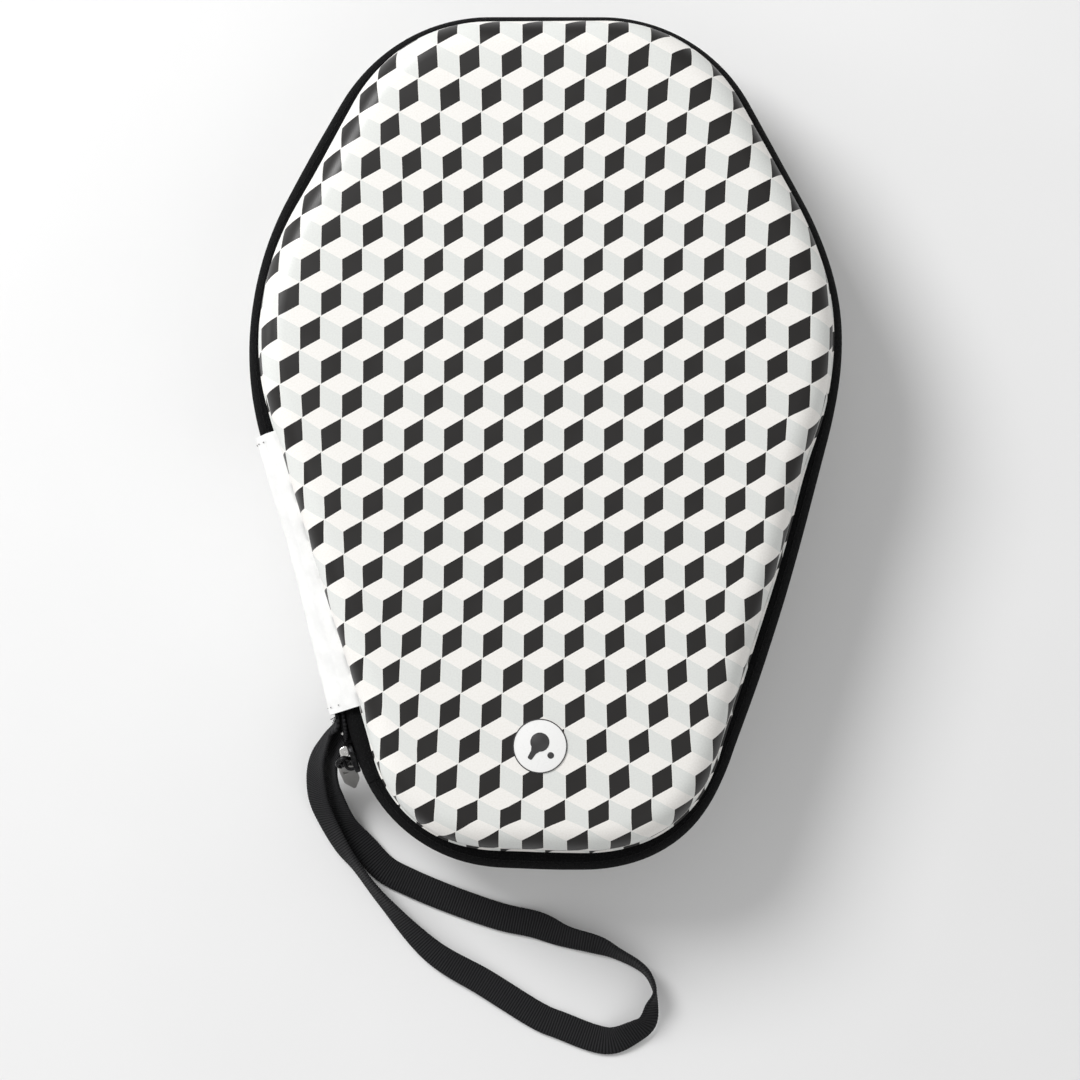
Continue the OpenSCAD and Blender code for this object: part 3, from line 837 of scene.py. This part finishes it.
def coil_path(start, end, side):
    """A nylon coil that loops round the zip's middle, one loop for each tooth."""
    pitch, loops = 1.5, 10
    shift = 0 if side > 0 else pitch / 2
    count = int((end - start) / pitch)
    path = []
    for k in range(count * loops + 1):
        turn = 2 * math.pi * k / loops
        at, out = spot(start + shift + pitch * k / loops)
        inset = 2.0 + 0.85 * math.cos(turn)
        height = 1.05 + 1.3 * math.sin(turn)
        path.append(beside(at, out, inset, side * height))
    return path


for body_name, half_name, half_side, zip_end in HALVES:
    tape = sweep(half_name + "_tape_cloth", stations(0, zip_end, RING_STEP), tape_section(), half_side)
    dress(tape, body_name, "zip_tape", TAPE, nodes=(half_name + "_zip_tape",))
    coil = tubes(half_name + "_coil", [coil_path(0.5, zip_end - 1, half_side)], 0.3, 5)
    dress(coil, body_name, "zip_coil", COIL, nodes=(half_name + "_zip_coil",))
    seam = track_stitches(half_name + "_tape_stitches", 0, zip_end, 3.1, RIM_Z - 0.75, 50, half_side,
        radius=0.17)
    dress(seam, body_name, "thread", BLACK_THREAD)

# The lower tape's edge is folded outwards beside the parked slider, up to the hinge strip.
FOLD = [(-2.9, -1.6), (-3.1, -1.0), (-2.8, -0.6), (0.6, -0.4), (0.6, -1.4)]
fold = sweep("lower_tape_fold", stations(S_PARK + 2.5, S_TAPE_END, 1.5), FOLD)
dress(fold, "base", "zip_tape", TAPE)

# The last stretch of the upper tape stays joined to the lower tape.
TAIL_BEND = hinge_bend(3.4, RIM_Z - 0.6)
tail = sweep("upper_tape_tail_cloth", stations(S_TAIL, S_TAPE_END, 1.5), tape_section())
dress(tail, TAIL_BEND, "zip_tape", TAPE, nodes=("upper_tape_tail",))
tail = tubes("upper_coil_tail_loops", [coil_path(S_TAIL, S_LOW - 1, 1)], 0.3, 5)
dress(tail, TAIL_BEND, "zip_coil", COIL, nodes=("upper_coil_tail",))

# ---- hinge ----
BULGE_TOP, BULGE_LOW, BULGE_SHARE = 0.6, 3.5, 0.6
STRIP_T = 1.0


def strip_line(bulge, share):
    """The strip's inner line: it lies on the skin above and below, and stands out over the zip."""
    edge = WALL_INSET + skin_pull(S_LOW + (LENGTH - S_LOW) * share) - 0.35
    upper = [(edge, 12.9), (edge - 1.3, 12.3), (edge - 2.6, 11.7), (3.2, 10.9), (2.7, 9.8),
        (2.4 - 0.45 * bulge, 8.6),
        (1.4 - 0.75 * bulge, 7.0), (-bulge, 5.2), (-bulge - 0.25, 2.6), (-bulge - 0.3, 0)]
    return upper + [(inset, -height) for inset, height in upper[-2::-1]]


def strip_section(share):
    """The hinge strip's section at a share of its length from its lower end."""
    bulge = BULGE_LOW + (BULGE_TOP - BULGE_LOW) * min(1, share / BULGE_SHARE)
    inner = rounded(strip_line(bulge, share), 1, closed=False)
    outer = inner * (1, 1.02) - (STRIP_T, 0)
    return np.vstack([outer, inner[::-1]])


def strip_creases(s, inset, height):
    return 0.10 * wave((s, height, 0), 9, 2.0) * (1 - abs(height) / 12)


STRIP_BEND = hinge_bend(-9, 9)
strip = sweep("hinge_strip_leather", stations(S_LOW + 1.7, LENGTH + 2, 1.5), strip_section,
    lift=strip_creases)
dress(strip, STRIP_BEND, "hinge_leather", HINGE_LEATHER, nodes=("hinge_strip",))


def strip_side_stitches():
    """A row of white thread along the strip's lower edge. Its upper seam is sunk out of sight."""
    paths = []
    for s, at, out in stations(S_LOW + 5.5, LENGTH - 2, 3.4):
        middle = beside(at, out, 2.5, -11.35)
        paths.append(stitch(middle, np.array([*HINGE_WAY, 0]), np.array([*(out * 0.5), -0.87]), rise=0.03))
    return tubes("hinge_strip_side_stitches", paths, 0.2, 5)


def strip_end_stitches():
    """One row across each end of the strip, sunk into the soft cloth."""
    paths = []
    for s, share in ((S_LOW + 4.2, 0.04), (LENGTH - 0.5, 0.98)):
        at, out = spot(s)
        section = strip_section(share)
        edge = section[:len(section) // 2]
        for height in np.linspace(-8.5, 8.5, 8):
            inset = np.interp(height, edge[::-1, 1], edge[::-1, 0])
            middle = beside(at, out, inset, height)
            paths.append(stitch(middle, Z_AXIS, np.array([*out, 0]), 1.5, 0.16))
    return tubes("hinge_strip_end_stitches", paths, 0.18, 5)


dress(strip_side_stitches(), STRIP_BEND, "thread", WHITE_THREAD)
dress(strip_end_stitches(), STRIP_BEND, "thread", DARK_THREAD)
hinge_cloth = rounded([(5.2, RIM_Z - 1.8), (5.3, 3), (5.35, 0), (5.3, -3), (5.2, 1.8 - RIM_Z),
    (6.0, 1.8 - RIM_Z), (6.15, -3), (6.25, 0), (6.15, 3), (6.0, RIM_Z - 1.8)], 1)
cloth = sweep("hinge_lining_cloth", stations(S_LOW + 0.1, LENGTH - 0.1, 3), hinge_cloth)
dress(cloth, hinge_bend(-7, 7), "lining", LINING, nodes=("hinge_lining",))

# ---- slider and puller. Local axes: +X out of the tape, +Y along the zip to the narrow end, +Z up ----
SLIDER_L, PIN_X, PULLER_L, PULLER_LEAN = 11, 4.4, 20, 31
AT_PARK = Matrix.Translation((*(PARK * MM), ZIP_Z * MM)) @ Matrix.Rotation(
    math.atan2(PARK_OUT[1], PARK_OUT[0]), 4, "Z")


def local(obj, *moves):
    """Puts an object where its moves say, in the slider's axes."""
    matrix = AT_PARK
    for move in moves:
        matrix = matrix @ move
    obj.data.transform(matrix)
    return obj


def shift(x, y, z):
    return Matrix.Translation(Vector((x, y, z)) * MM)


def turned(degrees, axis):
    return Matrix.Rotation(math.radians(degrees), 4, axis)


def arc_points(radius, at, start, end, count):
    return [(at[0] + radius * math.cos(a), at[1] + radius * math.sin(a))
        for a in np.radians(np.linspace(start, end, count))]


def slider_outline(wide, narrow):
    """Wide where the two open tapes come in, narrow where they leave joined."""
    front, rear = wide - SLIDER_L / 2, SLIDER_L / 2 - narrow
    return (arc_points(wide, (0, front), 170, 370, 18) + [(narrow + 0.15, 0.8)]
        + arc_points(narrow, (0, rear), 0, 180, 14) + [(-narrow - 0.15, 0.8)])


def zip_slider():
    """Two plates, the wedge post between the coils and the rails that guide the tape."""
    face = turned(90, "Y")
    parts = []
    for x, thick in ((1.05, 1.9), (-4.0, 1.2)):
        made = plate("slider_plate", slider_outline(3.8, 3.0), thick, bevel=0.4, segments=4)
        parts.append(local(made, shift(x, 0, 0), face))
    post = plate("slider_post", [(-2, -0.45), (2.1, -0.45), (2.1, 0.45), (-2, 0.45)], 2.6, bevel=0.15)
    parts.append(local(post, shift(-1.45, -3.0, 0), turned(90, "X")))
    for side in (-1, 1):
        rail = plate("slider_rail", [(-1.3, -2.7), (1.3, -2.7), (1.3, 2.7), (-1.3, 2.7)], 0.6, bevel=0.15)
        parts.append(local(rail, shift(-3.3, -0.9, side * 3.65)))
    dress(joined("zip_slider_body", parts), "slider", "slider_metal", GUNMETAL, nodes=("zip_slider",))


def slider_bridge():
    """An arch of flat bar over the outer plate, with a bright cap over its front half."""
    path = [(1.8, -3.8, 0), (3.2, -3.7, 0), (4.1, -3.3, 0), (4.6, -2.5, 0), (4.75, -1.2, 0), (4.8, 0, 0),
        (4.75, 1.2, 0), (4.6, 2.5, 0), (4.1, 3.3, 0), (3.2, 3.7, 0), (1.8, 3.8, 0)]
    arch = tubes("arch", [rounded(path, 2, closed=False)], 0.62, 12, normal=Z_AXIS, flat=1.3)
    side = rounded([(1.9, -4.9), (4.4, -4.9), (5.3, -3.9), (5.4, -1.1), (4.2, -0.95), (1.9, -1.0)], 2)
    cap = plate("cap", side.tolist(), 3.0, bevel=0.5, segments=4)
    chosen = [1] * len(arch.data.polygons) + [0] * len(cap.data.polygons)
    obj = joined("slider_bridge_arch", [local(arch), local(cap)])
    dress(obj, "slider", "bridge_metal", BRIGHT, GUNMETAL, nodes=("slider_bridge",))
    obj.data.polygons.foreach_set("material_index", chosen)


def zip_end_stop():
    """A small bright crimp on the zip between the parked slider and the hinge strip."""
    crimp = bmesh.new()
    bmesh.ops.create_uvsphere(crimp, u_segments=20, v_segments=12, radius=0.62 * MM)
    bmesh.ops.scale(crimp, vec=(1, 1.3, 1), verts=crimp.verts)
    dress(local(to_object("zip_end_stop", crimp), shift(2.4, -9.4, 0.2)), "base", "bridge_metal", BRIGHT)


def zip_puller():
    """A flat pointed tag on a black loop, leaning towards the narrow end."""
    side = [(1.5, -3.2), (2.3, -4.0), (2.9, -4.8), (3.0, -6.2), (2.9, 6.2 - PULLER_L),
        (2.5, 4.9 - PULLER_L), (0.6, 0.8 - PULLER_L)]
    outline = (arc_points(2.3, (0, 0), -40, 220, 22) + [(-x, y) for x, y in side]
        + [(0, 0.4 - PULLER_L)] + side[::-1])
    eye = arc_points(1.35, (0, 0), 0, 345, 24)
    hole = [(0.1, -6.6), (1.7, -6.6), (1.7, -8.2), (0.1, -8.2)]
    tag = plate("zip_puller_tag", outline, 1.4, holes=(eye, hole), bevel=0.35, segments=4)
    ring = [(*p, 0) for p in arc_points(2.75, (0, -1.5), 0, 360, 33)]
    loop = tubes("puller_loop", [ring], 0.72, 10, normal=Z_AXIS)
    dark = len(tag.data.polygons)
    obj = joined("zip_puller_tag", [tag, loop])
    chosen = [int(face.index >= dark or face.center.y > -2.9 * MM) for face in obj.data.polygons]
    local(obj, shift(PIN_X + 0.4, 0, 0), turned(PULLER_LEAN, "X"),
        turned(90, "X"))
    dress(obj, "puller", "puller_metal", SATIN_GREY, GUNMETAL, nodes=("zip_puller",))
    obj.data.polygons.foreach_set("material_index", chosen)


zip_slider()
slider_bridge()
zip_end_stop()
zip_puller()


def strap_bartack():
    """A row of dense stitches across the strap's outer end."""
    at, out = spot(S_LOW)
    base = beside(at, out, -3.15, 0)
    along, away = np.array([*-HINGE_WAY, 0]), np.array([*out, 0])
    paths = [stitch(base + along * -3.2 + Z_AXIS * z, along, away, 1.5, 0.2)
        for z in np.linspace(-4.2, 4.2, 12)]
    tack = tubes("strap_bartack_thread", paths, 0.22, 5)
    dress(tack, "base", "thread", BLACK_THREAD, nodes=("strap_bartack",))


def frayed_threads():
    """Loose ends of yarn where the strap comes out from under the hinge strip."""
    rng = np.random.default_rng(7)
    at, out = spot(S_LOW)
    down, away = np.array([*-HINGE_WAY, 0]), np.array([*out, 0])
    paths = []
    for _ in range(16):
        start = np.array([*(at + out * rng.uniform(1.2, 3.2)), ZIP_Z + rng.uniform(1.5, 5.2)]) - down * 0.6
        way = down * rng.uniform(0.2, 1) + away * rng.uniform(0.2, 1.1)
        way = way + Z_AXIS * rng.uniform(0, 0.7)
        bow = rng.normal(0, 0.35, 3)
        length = rng.uniform(1.2, 2.6)
        paths.append([start + way * length * t + bow * t * t for t in np.linspace(0, 1, 6)])
    dress(tubes("frayed_threads", paths, 0.11, 4), "base", "thread", BLACK_THREAD)


strap_bartack()
frayed_threads()


# ---- inside the base: elastic bands ----
FLOOR_Z = FOAM_T + 0.05 + LINING_T + CROWN


def elastic_band(name, y, width, half, rise):
    """An elastic band across the case: it lies on the floor at both ends and stands over the bat."""
    tab, run, thick = 15, 11, 1.2
    xs = np.linspace(-half, half, 150)
    lift = np.clip((half - tab + 1 - np.abs(xs)) / (run + 4), 0, 1)
    zs = FLOOR_Z + 0.7 + thick / 2 - 0.6 + (rise - thick) * (lift ** 2 * (3 - 2 * lift))
    rows = np.linspace(-1, 1, 25)
    points = np.zeros((len(xs), 2 * len(rows), 3))
    way = np.gradient(np.stack([xs, zs], axis=1), axis=0)
    way /= np.linalg.norm(way, axis=1)[:, None]
    for i, x in enumerate(xs):
        up = np.array([-way[i, 1], way[i, 0]])
        for j, row in enumerate(rows):
            edge = thick / 2 * (1 - 0.6 * abs(row) ** 12) + 0.07 * math.cos(row * 12 * math.pi)
            for sign, column in ((1, j), (-1, -1 - j)):
                p = np.array([x, zs[i]]) + up * edge * sign
                points[i, column] = (p[0], y + row * width / 2, p[1])
    far = run_along(np.stack([xs, zs], axis=1))
    across = np.concatenate([rows, rows[::-1]])[np.r_[:2 * len(rows), 0]] * width / 2
    obj = grid(name + "_elastic", points, mapped(far, across), wrap=(False, True))
    dress(obj, "base", "elastic", ELASTIC, nodes=(name,))


def band_patches(name, y, width, half):
    """Cloth patches over the band's two ends, each sewn down round its edge."""
    w, d = 12, width + 2
    top = FLOOR_Z + 0.1 + 1.2 + 0.8
    patches, paths = [], []
    for side in (-1, 1):
        x = side * (half - 7)
        outline = rounded([(-w / 2, -d / 2), (w / 2, -d / 2), (w / 2, d / 2), (-w / 2, d / 2)], 3)
        made = plate("patch", outline.tolist(), 0.8, bevel=0.3)
        made.data.transform(shift(x, y, top - 0.4))
        patches.append(made)
        for k in (-1, 1):
            for t in np.linspace(-0.5, 0.5, round(d / 2.8)):
                middle = np.array([x + k * (w / 2 - 1.6), y + t * (d - 5), top])
                paths.append(stitch(middle, Y_AXIS, Z_AXIS, 1.9, 0.16))
            for t in np.linspace(-0.5, 0.5, 4):
                middle = np.array([x + t * (w - 4.6), y + k * (d / 2 - 1.8), top])
                paths.append(stitch(middle, X_AXIS, Z_AXIS, 1.7, 0.16))
    obj = joined(name + "_cloth", patches)
    box_map(obj)
    dress(obj, "base", "patch", PATCH, nodes=(name,))
    dress(tubes(name + "_stitches", paths, 0.2, 5), "base", "thread", BLACK_THREAD)


def box_map(obj):
    """Map coordinates from above, in millimetres, for a flat piece."""
    mesh = obj.data
    layer = mesh.uv_layers.get("cloth") or mesh.uv_layers.new(name="cloth")
    co = np.zeros(len(mesh.vertices) * 3)
    mesh.vertices.foreach_get("co", co)
    loops = np.zeros(len(mesh.loops), np.int32)
    mesh.loops.foreach_get("vertex_index", loops)
    flat = co.reshape(-1, 3)[loops]
    layer.data.foreach_set("uv", np.stack([flat[:, 0], flat[:, 1] + flat[:, 2]], axis=1).ravel() / MM)


elastic_band("blade_band", 45, 25, 85, 13.5)
band_patches("blade_band_patches", 45, 25, 85)
elastic_band("handle_band", -95, 20, 50, 16)
band_patches("handle_band_patches", -95, 20, 50)

# ---- inside the lid: mesh pocket ----
NET_INSET, NET_Z, HEM_W, NET_CELL = 10, 14, 7, 3.4
HEM_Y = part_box("pocket_elastic")[1].y / MM
NET_TOP = HEM_Y - HEM_W


def inside_by(point, inset):
    """How far a point lies inside the zip's line moved in by an inset; negative outside."""
    return min((np.array(point) - at + out * inset) @ -out for _, at, out in RIM_POINTS)


RIM_POINTS = ring_stations(8)


def net():
    """Knitted net: a hexagon of thread round every hole."""
    bm = bmesh.new()
    step_x, step_y = NET_CELL, NET_CELL * math.sqrt(3) / 2
    thick, hole = 0.45, 0.66
    rings = {}
    rows = range(int(-HALF_L / step_y) - 1, int(NET_TOP / step_y) + 2)
    columns = range(-32, 33)

    def corner(x, y):
        key = (round(x, 3), round(y, 3))
        if key not in rings:
            rings[key] = bm.verts.new((x * MM, y * MM, (ZIP_Z + NET_Z + 0.3 + sag(x, y)) * MM))
        return rings[key]

    for row in rows:
        for column in columns:
            x, y = (column + 0.5 * (row % 2)) * step_x, row * step_y
            if y > NET_TOP + 1.5 or inside_by((x, y), NET_INSET + 0.3) < 0:
                continue
            turns = np.radians(np.arange(6) * 60 + 30)
            side = step_x / math.sqrt(3)
            outer = [corner(x + side * math.cos(a), y + side * math.sin(a)) for a in turns]
            inner = [bm.verts.new(((x + side * hole * math.cos(a)) * MM, (y + side * hole * math.sin(a)) * MM,
                (ZIP_Z + NET_Z + 0.3 + sag(x, y)) * MM)) for a in turns]
            for k in range(6):
                bm.faces.new((outer[k], outer[(k + 1) % 6], inner[(k + 1) % 6], inner[k]))
    area = sum(face.calc_area() for face in bm.faces)
    bmesh.ops.recalc_face_normals(bm, faces=bm.faces)
    bmesh.ops.solidify(bm, geom=bm.faces[:], thickness=thick * MM)
    obj = to_object("mesh_pocket_net", bm)
    box_map(obj)
    dress(obj, "lid", "netting", NETTING, nodes=("mesh_pocket",))


def sag(x, y):
    """The net hangs a little towards the open side, most in its middle."""
    return -1.3 * max(0.0, 1 - (x / 80) ** 2) * max(0.0, 1 - ((y + 55) / 90) ** 2)


def pocket_hem():
    """Elastic in a gathered hem across the pocket's mouth."""
    low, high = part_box("pocket_elastic")
    half = (high.x - low.x) / MM / 2 - 0.3
    middle = (high.x + low.x) / MM / 2
    xs = np.linspace(middle - half, middle + half, 340)
    section = rounded([(-3.45, -0.35), (0, -0.62), (3.45, -0.35), (3.45, 0.35), (0, 0.62), (-3.45, 0.35)], 2)
    points = np.zeros((len(xs), len(section), 3))
    for i, x in enumerate(xs):
        gather = 0.16 * math.sin(x * 2 * math.pi / 3.1)
        slope = 1 - 0.018 * (abs(x - middle) / half) ** 3
        points[i, :, 0] = x
        points[i, :, 1] = HEM_Y - HEM_W / 2 + section[:, 0] * slope
        middle_z = ZIP_Z + NET_Z + 0.3 + gather * 0.5 + sag(x, HEM_Y) * 0.6
        points[i, :, 2] = middle_z + section[:, 1] * (1 + gather)
    across = np.linspace(0, 16, len(section) + 1)
    obj = grid("pocket_hem", points, mapped(xs, across), wrap=(False, True))
    dress(obj, "lid", "elastic", ELASTIC, nodes=("pocket_elastic",))


RIGHT_SIDE = sum(leg[0] for leg in LEGS[:6]) + LEGS[6][0] / 2
net()
pocket_hem()
section = rounded([(9.1, NET_Z + 2.2), (9.1, NET_Z - 0.9), (10.1, NET_Z - 0.9), (10.1, NET_Z + 2.2)], 2)
pocket_edge = sweep("pocket_binding_tape", stations(RIGHT_SIDE, LENGTH + LEGS[0][0] / 2, RING_STEP), section)
dress(pocket_edge, "lid", "binding", BINDING, nodes=("pocket_binding",))

# ---- badge: a plain bat and ball sign ----
BADGE_AT = tuple((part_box("badge")[0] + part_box("badge")[1]).xy / 2 / MM)
BADGE_R = 9.4


def badge():
    """A thin glossy disc with a black ring, and a bat and a ball in the middle."""
    top = CASE_H + 0.32
    disc = plate("badge_disc", arc_points(BADGE_R, BADGE_AT, 0, 357, 120), 0.3, bevel=0.12)
    disc.data.transform(shift(0, 0, top - 0.15))
    dress(disc, "lid", "badge_print", BADGE_WHITE, nodes=("badge",))
    x, y = BADGE_AT
    ring = plate("ring", arc_points(BADGE_R + 0.03, BADGE_AT, 0, 357, 120), 0.1,
        holes=(arc_points(BADGE_R - 0.36, BADGE_AT, 0, 357, 120),), bevel=0.02, segments=1)
    blade = arc_points(3.3, (0, 1.6), -60, 240, 40)
    handle = [(-1.0, -2.6), (-0.85, -4.9), (-0.5, -5.3), (0.5, -5.3), (0.85, -4.9), (1.0, -2.6)]
    bat = plate("bat", blade + handle, 0.1, bevel=0.02, segments=1)
    bat.data.transform(turned(-32, "Z"))
    ball = plate("ball", arc_points(1.15, (4.6, -3.2), 0, 350, 30), 0.1, bevel=0.02, segments=1)
    for part in (bat, ball):
        part.data.transform(shift(x - 0.9, y, 0))
    sign = joined("badge_sign", [ring, bat, ball])
    sign.data.transform(shift(0, 0, top + 0.05))
    dress(sign, "lid", "badge_print", BADGE_BLACK)


badge()


# ---- floor and light ----
def floor():
    bm = bmesh.new()
    bmesh.ops.create_grid(bm, x_segments=8, y_segments=8, size=6)
    obj = to_object("floor", bm)
    p = Paint("floor_paper", (0.83, 0.83, 0.83), 0.75)
    p.set("Base Color", p.mix(p.noise(p.place(), 0.01, 2), (0.84, 0.84, 0.84), (0.80, 0.80, 0.80)))
    p.bump(p.noise(p.place(), 1.5, 3), 0.02, 0.3)
    obj.data.materials.append(p.material)


def lamp(name, place, aim, size, power):
    data = bpy.data.lights.new(name, "AREA")
    data.shape = "DISK"
    data.size = size
    data.energy = power
    obj = linked(name, data)
    obj.location = place
    obj.rotation_euler = (Vector(aim) - Vector(place)).to_track_quat("-Z", "Y").to_euler()


def light():
    lamp("key", (-0.95, 0.85, 1.35), (0, 0, 0.03), 0.8, 25.5)
    lamp("low_left", (-1.7, 0.35, 0.42), (0, 0, 0.03), 0.7, 3.5)
    lamp("fill", (0.6, -0.9, 1.6), (0, 0, 0), 1.6, 2)
    world = bpy.data.worlds.new("studio")
    bpy.context.scene.world = world
    world.use_nodes = True
    background = next(n for n in world.node_tree.nodes if n.type == "BACKGROUND")
    background.inputs["Color"].default_value = (1, 1, 1, 1)
    background.inputs["Strength"].default_value = 0.51


floor()
light()
bpy.context.scene.view_settings.view_transform = "Standard"
